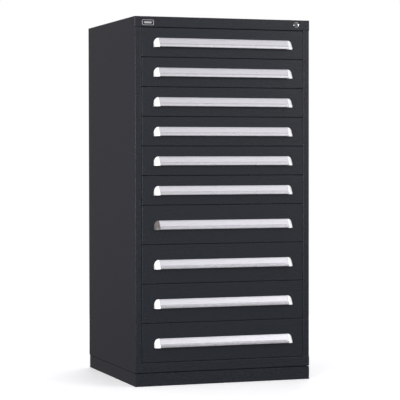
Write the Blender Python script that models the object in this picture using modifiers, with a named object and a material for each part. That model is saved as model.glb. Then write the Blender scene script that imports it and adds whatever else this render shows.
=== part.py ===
"""Tall modular drawer cabinet: ten drawers on telescopic carriages in a housing of folded sheet steel.

Metres, +Z up, +X to the right, and the front looks towards -Y. The origin is on the floor, under the
middle of the whole box, handles included.
"""

import math

import bmesh
import bpy
from mathutils import Matrix, Vector

# Driving dimensions
WIDTH = 0.762                       # over the front rails
DEPTH = 0.705                       # housing, front face to rear flange
HEIGHT = 1.500
BASE_HEIGHT = 0.053
BOTTOM_RAIL_HEIGHT = 0.043
TALL_PITCH = 0.160                  # height that a drawer takes in the lower stack
SHORT_PITCH = 0.120                 # the same in the upper stack
TALL_DRAWERS = 4
SHORT_DRAWERS = 6
HANDLE_REACH = 0.0245               # how far a handle stands out of the front
DRAWER_TRAVEL = 0.620
SHEET = 0.0015                      # housing and drawer fronts
TRAY_SHEET = 0.0012
TOUCH = 0.0003                      # gap between pieces that touch
FRONT_GAP = 0.0015                  # gap around each drawer front
FOLD_RADIUS = 0.002
DRAWER_FOLD = 0.0016
PAST = 0.005                        # how far a cutter reaches past what it cuts

# Planes and lines that follow from them
FRONT = HANDLE_REACH - (DEPTH + HANDLE_REACH) / 2      # Y of the housing's front face
BACK = FRONT + DEPTH
DRAWER_FLOOR = BASE_HEIGHT + BOTTOM_RAIL_HEIGHT        # Z where the lowest drawer's space starts
RAIL_DEPTH = 0.020                                     # posts, front rails and drawer fronts
RAIL_PROUD = 0.0008                                    # front rails stand this much out of the posts
RAIL_FOLD = 0.0019                                     # outer radius of the front rails' folds
SIDE_OUTER = WIDTH / 2 - RAIL_PROUD
SIDE_INNER = SIDE_OUTER - SHEET
POST_WIDTH = 0.02825                                   # from the housing's side to the drawer opening
OPENING = WIDTH / 2 - POST_WIDTH                       # half the width between the posts
FRONT_HALF = OPENING - FRONT_GAP                       # half the width of a drawer front
LINER_PLAY = 0.0004
LINER = SIDE_INNER - LINER_PLAY                        # half the width of top panel and bottom pan
LINER_START = 0.0005                                   # behind the front rails
LINER_END = 0.0045                                     # in front of the rear flanges' outer face
LINER_FRONT = FRONT + RAIL_DEPTH + LINER_START
LINER_BACK = BACK - LINER_END
FLOOR_SHEET_Z = BASE_HEIGHT + TOUCH
FLOOR_PAN_HEIGHT = 0.020
TOP_PANEL_HEIGHT = 0.025
TOP_PANEL_DROP = 0.0007                                # below the top rail's upper edge
BACK_PANEL_INSET = 0.0036                              # its rear face, in front of the rear flanges' outer face
REAR_FLANGE = 0.025
BASE_SEAM = 0.0025                                     # open joint all round between base and housing
BASE_SETBACK = 0.011                                   # from the housing's rear flange
BASE_SHEET = 0.002
BASE_FLANGE = 0.032

# Drawer trays, heights measured from the bottom of the drawer's own space
TRAY_HALF = 0.336
TRAY_START = 0.0009                                    # inside the front's sheet, to which it is welded
TRAY_FLOOR = 0.00175
TRAY_RIM_DROP = 0.020                                  # the rim is this far below the top of the space
TRAY_BACK = 0.645                                      # depth behind the housing's front face
INNER_WALL = 0.018
INNER_WALL_DROP = 0.0005                               # below the tray's rim
TRAY_RAIL_END = 0.005                                  # in front of the tray's back

# Telescopic suspension
CHANNEL_LOW = 0.014
CHANNEL_HEIGHT = 0.030
CHANNEL_START = 0.030
CHANNEL_END = 0.665
FIXED_WEB = 0.364                                      # outer face of the fixed rail's web
FIXED_LIP = 0.3535
TRAY_RAIL_LIP = 0.345
CARRIAGE_PLATE = (0.3475, 0.3495)
CARRIAGE_LENGTH = 0.610
CARRIAGE_HEIGHT = 0.020
ROLLER_RADIUS = 0.0125
ROLLER_SIDES = 12
ROLLER_OVERLAP = 0.0005
ROLLER_END_GAPS = (0.001, 0.0018)                      # from the fixed rail's web and from the tray's side
HOUSING_ROLLERS = (0.365, 0.620)                       # depths of the rollers in the fixed rails
TRAY_ROLLERS = (0.045, 0.300)                          # depths of the rollers under the tray's rails
UPRIGHT_DEPTHS = (0.032, 0.630)
UPRIGHT_DEPTH = 0.030
UPRIGHT_TOP = 1.470
RACK_OVERLAP = 0.0005                                  # weld between an upright and a fixed rail

# Handle section: reach out of the front, height below the handle's top edge
HANDLE_HEIGHT = 0.0365
HANDLE_DROP = 0.0007                                   # its middle is this far below the front's middle
HANDLE_TOP_LEDGE = 0.0045
HANDLE_LEDGE_CHAMFER = (0.0012, 0.001)
HANDLE_BAR_HALF = 0.2805
HANDLE_CAP_LENGTH = 0.020
HANDLE_CAP_CORNER = (0.0165, 0.020)                    # rounded upper corner: along and down the handle
HANDLE_CAP_FULLNESS = 3.0                              # superellipse exponent of the cap's plan
HANDLE_LABEL_END = (0.0045, 0.0272)                    # back from the nose and below the top edge
HANDLE_GROOVE = ((0.0055, 0.0282), (0.0030, 0.0288))   # the same, from the label's end to the rolled lip
HANDLE_LIP_HEIGHT = 0.0055                             # of the lip's upright face, above the lower edge
HANDLE_LIP_RADIUS = 0.003
HANDLE_WALL = 0.0045                                   # below the handle's top edge, over the finger space
HANDLE_HOLLOW_START = 0.0050                           # out of the front
HANDLE_HOLLOW_END = (0.0080, 0.0265)                   # back from the nose and below the top edge
HANDLE_LIP_BACK = (0.0045, 0.0060)                     # back from the nose and above the lower edge
HANDLE_LIP_THICKNESS = 0.0050
HANDLE_HOLLOW_MARGIN = 0.002                           # bar left whole beside each cap
HANDLE_LEG = 0.0028
HANDLE_LEG_HEIGHT = 0.024

# Lock
LOCK_X = 0.3213
LOCK_Z = 1.479
LOCK_TURN = math.radians(90)
LOCK_BEZEL_RADIUS = 0.0122
LOCK_BEZEL_HEIGHT = 0.0026
LOCK_BARREL_RADIUS = 0.0110
LOCK_BARREL_END = 0.018
LOCK_BORE_RADIUS = 0.0073
LOCK_HOLE_RADIUS = LOCK_BARREL_RADIUS + TOUCH
PLUG_RADIUS = 0.0070
PLUG_FACE = -0.0032
PLUG_END = 0.0187
KEYWAY = (0.0022, 0.0090)                              # width and height
KEYWAY_END = 0.006
CAM_RADIUS = 0.0125
CAM_DEPTHS = (0.0190, 0.0215)
CRANK_PIN_DEPTHS = (0.0210, 0.0260)
YOKE_HALF = 0.007                                      # above and below the crank pin
YOKE_END = 0.009                                       # beyond the crank pin
YOKE_SLOT = (0.0045, 0.0065)                           # to the left and right of the crank pin
YOKE_SLOT_PLAY = 0.0006                                # above and below the crank pin
LOCK_BAR_START = 0.034                                 # above the lowest drawer's space
LOCK_BAR_SLACK = 0.0005
GUIDE_HEIGHT = 0.020
GUIDE_START = 0.0008                                   # behind the liner's front
GUIDE_WALL = 0.0025                                    # outside the lock bar
GUIDE_LIFTS = (0.095, 0.110)                           # above drawer 2's floor and above drawer 10's
CRANK_RADIUS = 0.0085
CRANK_PIN_RADIUS = 0.0025
LOCK_BAR_Y = FRONT + 0.023
LOCK_BAR_THICKNESS = 0.002
LOCK_BAR_X = (0.356, 0.372)
FINGER_REACH = 0.340
FINGER_Z = (0.056, 0.064)
LUG_Z = (0.066, 0.078)
LUG_DEPTHS = (0.027, 0.033)
LUG_REACH = 0.3455

# Name plate, left blank
PLATE_X = (-0.3500, -0.3007)
PLATE_Z = (1.4635, 1.4859)
PLATE_THICKNESS = 0.0016
PLATE_RIM = 0.0020
PLATE_RECESS = 0.0006
PLATE_CORNERS = (0.003, 0.002)                         # outer and inner

AXES = {
    "X": Matrix(((0, 0, -1, 0), (-1, 0, 0, 0), (0, 1, 0, 0), (0, 0, 0, 1))),
    "Y": Matrix(((1, 0, 0, 0), (0, 0, -1, 0), (0, 1, 0, 0), (0, 0, 0, 1))),
    "Z": Matrix.Identity(4),
}


# Scene and materials

def clear_scene():
    for obj in list(bpy.data.objects):
        bpy.data.objects.remove(obj, do_unlink=True)


def new_collection(name):
    collection = bpy.data.collections.new(name)
    bpy.context.scene.collection.children.link(collection)
    return collection


def new_material(name, colour, roughness, metallic):
    material = bpy.data.materials.new(name)
    material.use_nodes = True
    shader = material.node_tree.nodes["Principled BSDF"]
    shader.inputs["Base Color"].default_value = (*colour, 1.0)
    shader.inputs["Roughness"].default_value = roughness
    shader.inputs["Metallic"].default_value = metallic
    material.diffuse_color = (*colour, 1.0)
    return material


# Modelling tools: each returns a mesh, and every working object is removed again

def object_of(mesh):
    obj = bpy.data.objects.new(mesh.name, mesh)
    cutters.objects.link(obj)
    obj.hide_render = True
    obj.display_type = "WIRE"
    return obj


def tidy(mesh):
    """Welds loose caps and seams and turns every face outwards."""
    bm = bmesh.new()
    bm.from_mesh(mesh)
    bmesh.ops.remove_doubles(bm, verts=bm.verts, dist=0.00002)
    bmesh.ops.recalc_face_normals(bm, faces=bm.faces)
    bm.to_mesh(mesh)
    bm.free()
    return mesh


def baked(obj):
    """The evaluated mesh of a working object, which is then removed."""
    depsgraph = bpy.context.evaluated_depsgraph_get()
    mesh = bpy.data.meshes.new_from_object(obj.evaluated_get(depsgraph))
    mesh.transform(obj.matrix_world)
    bpy.data.objects.remove(obj, do_unlink=True)
    return tidy(mesh)


def boolean(base, others, operation):
    target = object_of(base)
    tools = [object_of(other) for other in others]
    for tool in tools:
        modifier = target.modifiers.new(operation.lower(), "BOOLEAN")
        modifier.operation = operation
        modifier.solver = "EXACT"
        modifier.object = tool
    mesh = baked(target)
    for tool in tools:
        bpy.data.objects.remove(tool, do_unlink=True)
    return mesh


def union(base, *others):
    return boolean(base, others, "UNION")


def cut(base, *others):
    return boolean(base, others, "DIFFERENCE")


def gathered(meshes):
    """Several separate solids in one mesh, to be used as one operand."""
    bm = bmesh.new()
    for mesh in meshes:
        bm.from_mesh(mesh)
    result = bpy.data.meshes.new("gathered")
    bm.to_mesh(result)
    bm.free()
    return result


def mirrored(mesh):
    copy = mesh.copy()
    copy.transform(Matrix.Scale(-1, 4, (1, 0, 0)))
    return tidy(copy)


def cube_bmesh(low, high):
    low, high = Vector(low), Vector(high)
    size = high - low
    matrix = Matrix.Translation((low + high) / 2) @ Matrix.Diagonal((*size, 1.0))
    bm = bmesh.new()
    bmesh.ops.create_cube(bm, size=1.0, matrix=matrix)
    return bm


def block(low, high):
    bm = cube_bmesh(low, high)
    mesh = bpy.data.meshes.new("block")
    bm.to_mesh(mesh)
    bm.free()
    return mesh


def folded_box(low, high, open_sides, thickness, radius=0.0):
    """Sheet metal folded into a box, with the named sides left open."""
    bm = cube_bmesh(low, high)
    directions = {"-X": (-1, 0, 0), "+X": (1, 0, 0), "-Y": (0, -1, 0),
                  "+Y": (0, 1, 0), "-Z": (0, 0, -1), "+Z": (0, 0, 1)}
    bm.normal_update()
    openings = [Vector(directions[side]) for side in open_sides]
    removed = [face for face in bm.faces if any(face.normal.dot(way) > 0.9 for way in openings)]
    bmesh.ops.delete(bm, geom=removed, context="FACES")
    mesh = bpy.data.meshes.new("folded")
    bm.to_mesh(mesh)
    bm.free()
    obj = object_of(mesh)
    if radius:
        bevel = obj.modifiers.new("fold", "BEVEL")
        bevel.width = radius
        bevel.segments = 2
        bevel.limit_method = "ANGLE"
    shell = obj.modifiers.new("sheet", "SOLIDIFY")
    shell.thickness = thickness
    shell.offset = -1.0
    shell.use_even_offset = True
    return baked(obj)


def rounded_path(points, radius, segments):
    """The path with an arc in each of its inner corners."""
    path = [Vector(points[0])]
    for before, corner, after in zip(points, points[1:], points[2:]):
        before, corner, after = Vector(before), Vector(corner), Vector(after)
        into = (before - corner).normalized()
        out = (after - corner).normalized()
        centre = corner + (into + out) * radius
        start, end = corner + into * radius - centre, corner + out * radius - centre
        for step in range(segments + 1):
            turn = math.pi / 2 * step / segments
            path.append(centre + start * math.cos(turn) + end * math.sin(turn))
    path.append(Vector(points[-1]))
    return path


def folded_strip(points, bottom, top, thickness):
    """A sheet that follows a path in plan, with a radius at each right-angled fold."""
    bm = bmesh.new()
    path = rounded_path(points, FOLD_RADIUS, 3)
    verts = [bm.verts.new((point.x, point.y, bottom)) for point in path]
    edges = [bm.edges.new(pair) for pair in zip(verts, verts[1:])]
    swept = bmesh.ops.extrude_edge_only(bm, edges=edges)
    raised = [item for item in swept["geom"] if isinstance(item, bmesh.types.BMVert)]
    bmesh.ops.translate(bm, verts=raised, vec=(0, 0, top - bottom))
    mesh = bpy.data.meshes.new("strip")
    bm.to_mesh(mesh)
    bm.free()
    obj = object_of(mesh)
    shell = obj.modifiers.new("sheet", "SOLIDIFY")
    shell.thickness = thickness
    shell.offset = 0.0
    shell.use_even_offset = True
    return baked(obj)


def extruded(points, low, high, axis):
    """A flat outline drawn across an axis and extruded along it from low to high."""
    curve = bpy.data.curves.new("outline", "CURVE")
    curve.dimensions = "2D"
    curve.fill_mode = "BOTH"
    curve.extrude = (high - low) / 2
    spline = curve.splines.new("POLY")
    spline.points.add(len(points) - 1)
    for point, (x, y) in zip(spline.points, points):
        point.co = (x, y, 0, 1)
    spline.use_cyclic_u = True
    obj = bpy.data.objects.new("outline", curve)
    cutters.objects.link(obj)
    mesh = baked(obj)
    mesh.transform(AXES[axis])
    shift = {"X": (1, 0, 0), "Y": (0, 1, 0), "Z": (0, 0, 1)}[axis]
    mesh.transform(Matrix.Translation(Vector(shift) * (low + high) / 2))
    return tidy(mesh)


def cylinder(radius, low, high, axis, centre, sides):
    """A round bar along an axis from low to high, centred on the other two coordinates."""
    bm = bmesh.new()
    bmesh.ops.create_cone(bm, cap_ends=True, segments=sides, radius1=radius, radius2=radius, depth=high - low)
    mesh = bpy.data.meshes.new("cylinder")
    bm.to_mesh(mesh)
    bm.free()
    mesh.transform(AXES[axis])
    middle = (low + high) / 2
    place = {"X": (middle, *centre), "Y": (centre[0], middle, centre[1]), "Z": (*centre, middle)}[axis]
    mesh.transform(Matrix.Translation(place))
    return tidy(mesh)


def arc(centre, radii, start, end, segments):
    """Points of an ellipse's arc, angles in degrees."""
    angles = [math.radians(start + (end - start) * step / segments) for step in range(segments + 1)]
    return [(centre[0] + radii[0] * math.cos(a), centre[1] + radii[1] * math.sin(a)) for a in angles]


def rounded_rectangle(x_range, y_range, radius, segments):
    (x0, x1), (y0, y1) = x_range, y_range
    both = (radius, radius)
    return (arc((x1 - radius, y1 - radius), both, 0, 90, segments)
            + arc((x0 + radius, y1 - radius), both, 90, 180, segments)
            + arc((x0 + radius, y0 + radius), both, 180, 270, segments)
            + arc((x1 - radius, y0 + radius), both, 270, 360, segments))


def shade(mesh):
    mesh.shade_smooth()
    mesh.set_sharp_from_angle(angle=math.radians(30))


def place(name, mesh, material, parent=None, origin=None):
    """Puts a node at its origin: the middle of its box, or the point given, both in the parent's frame."""
    if origin is None:
        corners = [vertex.co for vertex in mesh.vertices]
        low = Vector(min(co[i] for co in corners) for i in range(3))
        high = Vector(max(co[i] for co in corners) for i in range(3))
        origin = (low + high) / 2
    mesh = mesh.copy()
    mesh.name = name
    mesh.transform(Matrix.Translation(-Vector(origin)))
    mesh.materials.clear()
    mesh.materials.append(material)
    shade(mesh)
    obj = bpy.data.objects.new(name, mesh)
    cabinet.objects.link(obj)
    obj.location = origin
    obj.parent = parent
    return obj


def empty(name, location):
    obj = bpy.data.objects.new(name, None)
    obj.empty_display_size = 0.05
    obj.location = location
    cabinet.objects.link(obj)
    return obj


# Housing

def side_panel():
    """Right side: front post with its return, side sheet and rear flange, from one folded sheet."""
    half = SHEET / 2
    path = [(OPENING + half, FRONT + RAIL_DEPTH), (OPENING + half, FRONT + half),
            (SIDE_OUTER - half, FRONT + half), (SIDE_OUTER - half, BACK - half),
            (SIDE_OUTER - REAR_FLANGE, BACK - half)]
    sheet = folded_strip(path, BASE_HEIGHT + BASE_SEAM, HEIGHT - TOUCH, SHEET)
    reach_low, reach_high = (OPENING - PAST, FRONT - PAST), (SIDE_OUTER + PAST, FRONT + RAIL_DEPTH + TOUCH)
    top_notch = block((*reach_low, HEIGHT - top_rail_height() - TOUCH), (*reach_high, HEIGHT + PAST))
    bottom_notch = block((*reach_low, BASE_HEIGHT - PAST), (*reach_high, DRAWER_FLOOR - FRONT_GAP / 2 + TOUCH))
    return cut(sheet, top_notch, bottom_notch)


def drawer_stack_top():
    return DRAWER_FLOOR + TALL_DRAWERS * TALL_PITCH + SHORT_DRAWERS * SHORT_PITCH


def top_rail_height():
    return HEIGHT - drawer_stack_top() - FRONT_GAP / 2


def front_rail(bottom, top):
    low = (-WIDTH / 2, FRONT - RAIL_PROUD, bottom)
    high = (WIDTH / 2, FRONT + RAIL_DEPTH, top)
    return folded_box(low, high, ["+Y"], SHEET, radius=RAIL_FOLD)


def top_rail():
    rail = front_rail(HEIGHT - top_rail_height(), HEIGHT)
    hole = cylinder(LOCK_HOLE_RADIUS, FRONT - PAST, FRONT + PAST, "Y", (LOCK_X, LOCK_Z), 24)
    return cut(rail, hole)


def bottom_rail():
    return front_rail(BASE_HEIGHT + BASE_SEAM, DRAWER_FLOOR - FRONT_GAP / 2)


def top_panel():
    top = HEIGHT - TOP_PANEL_DROP
    low = (-LINER, LINER_FRONT, top - TOP_PANEL_HEIGHT)
    high = (LINER, LINER_BACK, top)
    return folded_box(low, high, ["-Z", "-Y"], SHEET)


def bottom_pan():
    low = (-LINER, LINER_FRONT, FLOOR_SHEET_Z)
    high = (LINER, LINER_BACK, FLOOR_SHEET_Z + FLOOR_PAN_HEIGHT)
    return folded_box(low, high, ["+Z"], SHEET)


def back_panel():
    front = BACK - BACK_PANEL_INSET
    return block((-LINER, front, BASE_HEIGHT + BASE_SEAM), (LINER, front + SHEET, HEIGHT - TOP_PANEL_DROP))


def base_frame():
    """Plinth: a ring of inward-facing channel, set back from the housing's rear flange."""
    low, high = Vector((-SIDE_OUTER, FRONT, 0.0)), Vector((SIDE_OUTER, BACK - BASE_SETBACK, BASE_HEIGHT))
    inside = Vector((BASE_SHEET, BASE_SHEET, BASE_SHEET))
    flange = Vector((BASE_FLANGE, BASE_FLANGE, -BASE_FLANGE))
    return cut(block(low, high), block(low + inside, high - inside), block(low + flange, high - flange))


def name_plate():
    back = FRONT - RAIL_PROUD - TOUCH
    front = back - PLATE_THICKNESS
    plate = extruded(rounded_rectangle(PLATE_X, PLATE_Z, PLATE_CORNERS[0], 3), front, back, "Y")
    inner_x = (PLATE_X[0] + PLATE_RIM, PLATE_X[1] - PLATE_RIM)
    inner_z = (PLATE_Z[0] + PLATE_RIM, PLATE_Z[1] - PLATE_RIM)
    inner = rounded_rectangle(inner_x, inner_z, PLATE_CORNERS[1], 3)
    recess = extruded(inner, front - PAST, front + PLATE_RECESS, "Y")
    return cut(plate, recess)


def rack():
    """Right rack: two uprights of channel that carry the fixed rail of each drawer."""
    uprights = [folded_box((FIXED_WEB - RACK_OVERLAP, FRONT + depth, FLOOR_SHEET_Z + SHEET + TOUCH),
                           (LINER - SHEET - TOUCH, FRONT + depth + UPRIGHT_DEPTH, UPRIGHT_TOP),
                           ["-X", "-Z", "+Z"], SHEET) for depth in UPRIGHT_DEPTHS]
    rails = [folded_box((FIXED_LIP, FRONT + CHANNEL_START, bottom + CHANNEL_LOW),
                        (FIXED_WEB, FRONT + CHANNEL_END, bottom + CHANNEL_LOW + CHANNEL_HEIGHT),
                        ["-X", "-Y", "+Y"], SHEET) for bottom, _ in spaces()]
    return union(gathered(uprights), gathered(rails))


# Drawers

def spaces():
    """Bottom and height of each drawer's space, from the top drawer down."""
    heights = [TALL_PITCH] * TALL_DRAWERS + [SHORT_PITCH] * SHORT_DRAWERS
    bottoms = [DRAWER_FLOOR + sum(heights[:index]) for index in range(len(heights))]
    return list(zip(bottoms, heights))[::-1]


def drawer(pitch):
    """Front pan, open-topped tray, tray rails and lock lug in one welded piece, from the front's foot."""
    front = folded_box((-FRONT_HALF, 0, FRONT_GAP / 2), (FRONT_HALF, RAIL_DEPTH, pitch - FRONT_GAP / 2),
                       ["+Y"], SHEET, radius=DRAWER_FOLD)
    rim = pitch - TRAY_RIM_DROP
    tray_low, tray_high = (-TRAY_HALF, TRAY_START, TRAY_FLOOR), (TRAY_HALF, TRAY_BACK, rim)
    tray = folded_box(tray_low, tray_high, ["-Y", "+Z"], TRAY_SHEET)
    weld = TRAY_HALF - TRAY_SHEET / 2
    inner_wall = block((-weld, INNER_WALL, TRAY_FLOOR + TRAY_SHEET / 2),
                       (weld, INNER_WALL + TRAY_SHEET, rim - INNER_WALL_DROP))
    flanges = []
    for side in (-1, 1):
        near, far = sorted((side * weld, side * TRAY_RAIL_LIP))
        for low in (CHANNEL_LOW, CHANNEL_LOW + CHANNEL_HEIGHT - SHEET):
            flanges.append(block((near, CHANNEL_START, low), (far, TRAY_BACK - TRAY_RAIL_END, low + SHEET)))
    lug = block((weld, LUG_DEPTHS[0], LUG_Z[0]), (LUG_REACH, LUG_DEPTHS[1], LUG_Z[1]))
    return union(front, tray, inner_wall, gathered(flanges + [lug]))


def handle_outline():
    """Outer section of the handle, as (reach out of the front, height from the handle's middle)."""
    top, bottom, nose = HANDLE_HEIGHT / 2, -HANDLE_HEIGHT / 2, HANDLE_REACH
    ledge = [(TOUCH, top), (HANDLE_TOP_LEDGE, top),
             (HANDLE_TOP_LEDGE + HANDLE_LEDGE_CHAMFER[0], top - HANDLE_LEDGE_CHAMFER[1])]
    face = [(nose - back, top - below) for back, below in (HANDLE_LABEL_END, *HANDLE_GROOVE)]
    radius = HANDLE_LIP_RADIUS
    rounded = arc((nose - radius, bottom + radius), (radius, radius), 30, -90, 3)
    return ledge + face + [(nose, bottom + HANDLE_LIP_HEIGHT)] + rounded + [(TOUCH, bottom)]


def handle_hollow():
    """Section of the finger space: behind the sloping face, below and in front of the mounting leg."""
    top, bottom, nose = HANDLE_HEIGHT / 2, -HANDLE_HEIGHT / 2, HANDLE_REACH
    roof, leg_foot, under = top - HANDLE_WALL, top - HANDLE_LEG_HEIGHT, bottom - PAST
    return [(HANDLE_LEG, roof), (HANDLE_HOLLOW_START, roof),
            (nose - HANDLE_HOLLOW_END[0], top - HANDLE_HOLLOW_END[1]),
            (nose - HANDLE_LIP_BACK[0], bottom + HANDLE_LIP_BACK[1]), (nose - HANDLE_LIP_THICKNESS, bottom),
            (nose - HANDLE_LIP_THICKNESS, under), (-PAST, under), (-PAST, leg_foot), (HANDLE_LEG, leg_foot)]


def cap_plan():
    """Right cap seen from above, from its tip round to the bar's end."""
    steps = 6
    angles = [math.radians(90 * (steps - step) / steps) for step in range(steps + 1)]
    power = 2 / HANDLE_CAP_FULLNESS
    reach = HANDLE_REACH + TOUCH
    return [(HANDLE_BAR_HALF + HANDLE_CAP_LENGTH * max(0.0, math.sin(a)) ** power,
             -reach * max(0.0, math.cos(a)) ** power) for a in angles]


def handle():
    """Extruded bar with a domed cap at each end, around its own middle on the drawer front."""
    half, skin = HANDLE_BAR_HALF + HANDLE_CAP_LENGTH, 0.0001
    body = extruded(handle_outline(), -half, half, "X")
    plan = [(half, PAST)] + cap_plan() + [(-x, y) for x, y in cap_plan()[::-1]] + [(-half, PAST)]
    corner, top = HANDLE_CAP_CORNER, HANDLE_HEIGHT / 2 + skin
    elevation = (arc((half - corner[0], top - corner[1]), corner, 0, 90, 5)
                 + arc((corner[0] - half, top - corner[1]), corner, 90, 180, 5)
                 + [(-half - skin, -HANDLE_HEIGHT), (half + skin, -HANDLE_HEIGHT)])
    body = boolean(body, [extruded(plan, -HANDLE_HEIGHT, HANDLE_HEIGHT, "Z")], "INTERSECT")
    body = boolean(body, [extruded(elevation, -HANDLE_REACH * 2, HANDLE_REACH, "Y")], "INTERSECT")
    hollow_half = HANDLE_BAR_HALF - HANDLE_HOLLOW_MARGIN
    return cut(body, extruded(handle_hollow(), -hollow_half, hollow_half, "X"))


def carriage():
    """Right intermediate carriage: plate, outer rollers for the fixed rail and inner ones for the tray's."""
    middle = CHANNEL_LOW + CHANNEL_HEIGHT / 2
    plate = block((CARRIAGE_PLATE[0], CHANNEL_START, middle - CARRIAGE_HEIGHT / 2),
                  (CARRIAGE_PLATE[1], CHANNEL_START + CARRIAGE_LENGTH, middle + CARRIAGE_HEIGHT / 2))
    web_gap, tray_gap = ROLLER_END_GAPS
    outer = [cylinder(ROLLER_RADIUS, CARRIAGE_PLATE[1] - ROLLER_OVERLAP, FIXED_WEB - SHEET - web_gap, "X",
                      (depth, middle), ROLLER_SIDES) for depth in HOUSING_ROLLERS]
    inner = [cylinder(ROLLER_RADIUS, TRAY_HALF + tray_gap, CARRIAGE_PLATE[0] + ROLLER_OVERLAP, "X",
                      (depth, middle), ROLLER_SIDES) for depth in TRAY_ROLLERS]
    return union(plate, gathered(outer + inner))


# Lock, modelled around the lock's own axis

def lock_housing():
    face = -RAIL_PROUD - TOUCH
    bezel = cylinder(LOCK_BEZEL_RADIUS, face - LOCK_BEZEL_HEIGHT, face, "Y", (0, 0), 32)
    barrel = cylinder(LOCK_BARREL_RADIUS, face - LOCK_BEZEL_HEIGHT / 2, LOCK_BARREL_END, "Y", (0, 0), 32)
    bore = cylinder(LOCK_BORE_RADIUS, face - LOCK_BEZEL_HEIGHT - PAST, LOCK_BARREL_END + PAST, "Y", (0, 0), 32)
    return cut(union(bezel, barrel), bore)


def lock_plug():
    plug = cylinder(PLUG_RADIUS, PLUG_FACE, PLUG_END, "Y", (0, 0), 28)
    width, height = KEYWAY
    keyway = block((-width / 2, PLUG_FACE - PAST, -height / 2), (width / 2, KEYWAY_END, height / 2))
    return cut(plug, keyway)


def crank_at_rest():
    """Crank pin's place from the lock's axis, halfway through its turn when level."""
    start = -LOCK_TURN / 2
    return CRANK_RADIUS * math.cos(start), CRANK_RADIUS * math.sin(start)


def lock_cam():
    disc = cylinder(CAM_RADIUS, *CAM_DEPTHS, "Y", (0, 0), 24)
    pin = cylinder(CRANK_PIN_RADIUS, *CRANK_PIN_DEPTHS, "Y", crank_at_rest(), 16)
    return union(disc, pin)


def lock_bar():
    """Flat bar up the right post, with a finger for each drawer and a slotted yoke for the crank pin."""
    inner, outer = LOCK_BAR_X
    pin_x, pin_z = crank_at_rest()
    yoke_z = LOCK_Z + pin_z
    yoke_low, yoke_high, yoke_end = yoke_z - YOKE_HALF, yoke_z + YOKE_HALF, LOCK_X + pin_x - YOKE_END
    start = DRAWER_FLOOR + LOCK_BAR_START
    outline = [(outer, start), (outer, yoke_high), (yoke_end, yoke_high), (yoke_end, yoke_low),
               (inner, yoke_low)]
    for bottom, _ in spaces():
        low, high = bottom + FINGER_Z[0], bottom + FINGER_Z[1]
        outline += [(inner, high), (FINGER_REACH, high), (FINGER_REACH, low), (inner, low)]
    outline.append((inner, start))
    plate = extruded(outline, LOCK_BAR_Y, LOCK_BAR_Y + LOCK_BAR_THICKNESS, "Y")
    slot_half = CRANK_PIN_RADIUS + YOKE_SLOT_PLAY
    slot = rounded_rectangle((LOCK_X + pin_x - YOKE_SLOT[0], LOCK_X + pin_x + YOKE_SLOT[1]),
                             (yoke_z - slot_half, yoke_z + slot_half), slot_half * 0.98, 4)
    return cut(plate, extruded(slot, LOCK_BAR_Y - PAST, LOCK_BAR_Y + PAST, "Y"))


def lock_bar_guide(bottom):
    """Keeper on the front upright that wraps the lock bar."""
    low = (FIXED_LIP, LINER_FRONT + GUIDE_START, bottom)
    high = (LOCK_BAR_X[1] + GUIDE_WALL, FRONT + UPRIGHT_DEPTHS[0] - TOUCH, bottom + GUIDE_HEIGHT)
    slack = LOCK_BAR_SLACK
    slot = block((LOCK_BAR_X[0] - slack, LOCK_BAR_Y - slack, bottom - PAST),
                 (LOCK_BAR_X[1] + slack, LOCK_BAR_Y + LOCK_BAR_THICKNESS + slack, bottom + GUIDE_HEIGHT + PAST))
    return cut(block(low, high), slot)


# Assembly

def build_housing(paint, zinc, silver):
    housing = empty("housing", (0, 0, 0))
    right = side_panel()
    place("side_panel_right", right, paint, housing)
    place("side_panel_left", mirrored(right), paint, housing)
    place("top_panel", top_panel(), paint, housing)
    place("back_panel", back_panel(), paint, housing)
    place("bottom_pan", bottom_pan(), paint, housing)
    place("top_rail", top_rail(), paint, housing)
    place("bottom_rail", bottom_rail(), paint, housing)
    place("base", base_frame(), paint, housing)
    place("nameplate", name_plate(), silver, housing)
    right_rack = rack()
    place("runner_rack_right", right_rack, zinc, housing)
    place("runner_rack_left", mirrored(right_rack), zinc, housing)


def build_lock(chrome, dark, zinc):
    axis = empty("lock_axis", (LOCK_X, FRONT, LOCK_Z))
    place("lock_housing", lock_housing(), chrome, axis, origin=(0, 0, 0))
    place("lock_plug", lock_plug(), dark, axis, origin=(0, 0, 0))
    place("lock_cam", lock_cam(), zinc, axis, origin=(0, 0, 0))
    place("lock_bar", lock_bar(), zinc, origin=(LOCK_BAR_X[0], LOCK_BAR_Y, LOCK_Z))
    second_space = spaces()[1][0]
    place("lock_bar_guide_upper", lock_bar_guide(second_space + GUIDE_LIFTS[0]), zinc)
    place("lock_bar_guide_lower", lock_bar_guide(DRAWER_FLOOR + GUIDE_LIFTS[1]), zinc)


def build_drawers(paint, aluminium, zinc):
    trays = {pitch: drawer(pitch) for pitch in (SHORT_PITCH, TALL_PITCH)}
    grip = handle()
    right = carriage()
    left = mirrored(right)
    for number, (bottom, pitch) in enumerate(spaces(), start=1):
        name = f"drawer_{number:02d}"
        slide = empty(f"{name}_slide", (0, FRONT, bottom))
        place(name, trays[pitch], paint, slide, origin=(0, 0, 0))
        pull = place(f"{name}_handle", grip, aluminium, slide, origin=(0, 0, 0))
        pull.location = (0, 0, pitch / 2 - HANDLE_DROP)
        runner = empty(f"carriage_{number:02d}_slide", (0, FRONT, bottom))
        place(f"carriage_{number:02d}_right", right, zinc, runner, origin=(0, 0, 0))
        place(f"carriage_{number:02d}_left", left, zinc, runner, origin=(0, 0, 0))


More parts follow.
